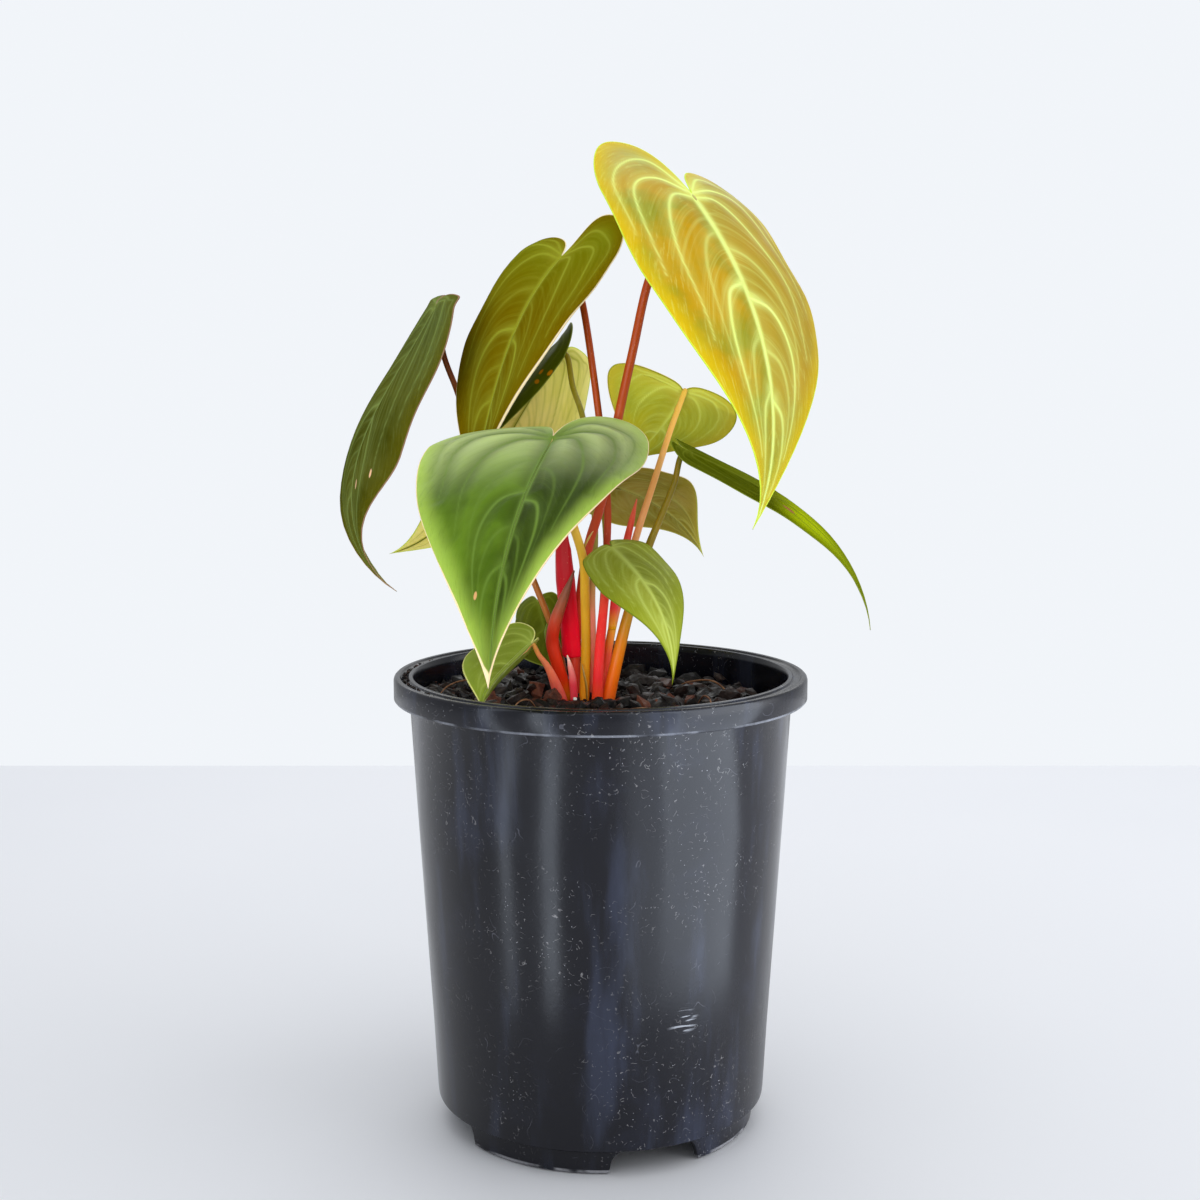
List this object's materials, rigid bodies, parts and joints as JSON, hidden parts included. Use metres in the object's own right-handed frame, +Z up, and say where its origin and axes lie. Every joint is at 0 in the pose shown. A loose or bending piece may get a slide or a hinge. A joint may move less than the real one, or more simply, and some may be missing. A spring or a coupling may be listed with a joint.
{
  "type": "potted philodendron rubrijuvenile",
  "caption": "Young velvet-leaved climbing philodendron with long drooping heart-shaped leaves on thin red and olive petioles, in a round black nursery pot filled with bark mix.",
  "frame": {"origin": "middle of the whole plant's footprint, on the plane the pot stands on; the pot's axis stands 0.6 mm towards +X and 14 mm towards +Y of it", "axes": "+Z up; -Y is the front, the side the picture was taken from; +X is the picture's right"},
  "size_m": [0.1866, 0.168, 0.3308],
  "materials": {
    "pot_plastic": "black moulded polypropylene, semi-gloss, with fine scuffs and white specks",
    "potting_mix": "damp dark bark chips and coir crumbs",
    "crown_tissue": "short swollen stem under the mix",
    "petiole_red": "smooth red-brown petiole skin with a soft gloss",
    "petiole_orange": "smooth orange to yellow petiole skin",
    "petiole_olive": "smooth olive petiole skin",
    "blade_bronze": "velvety yellow-bronze leaf with pale veins",
    "blade_olive": "velvety olive leaf with pale veins",
    "blade_dark": "velvety dark green leaf with grey sheen",
    "blade_green": "velvety mid-green leaf with silvery sheen and pale margin",
    "sheath_crimson": "glossy crimson cataphyll skin"
  },
  "bodies": {
    "root": {"pot": "pot_plastic", "soil": "potting_mix", "crown": "crown_tissue", "petiole_tall_bronze": "petiole_red", "petiole_upper_olive": "petiole_red", "petiole_left_dark": "petiole_red", "petiole_front_green": "petiole_orange", "petiole_back_pale": "petiole_olive", "petiole_right_upper": "petiole_orange", "petiole_right_lower": "petiole_olive", "petiole_right_tailed": "petiole_olive", "petiole_low_right": "petiole_red", "petiole_low_left": "petiole_orange", "petiole_low_back": "petiole_olive", "blade_tall_bronze": "blade_bronze", "blade_upper_olive": "blade_olive", "blade_left_dark": "blade_dark", "blade_front_green": "blade_green", "blade_back_pale": "blade_dark", "blade_right_upper": "blade_olive", "blade_right_lower": "blade_olive", "blade_right_tailed": "blade_green", "blade_low_right": "blade_green", "blade_low_left": "blade_green", "blade_low_back": "blade_dark", "sheath_crimson": "sheath_crimson", "sheath_curved": "sheath_crimson", "sheath_pink": "sheath_crimson", "sheath_tip": "sheath_crimson"}
  },
  "joints": []
}
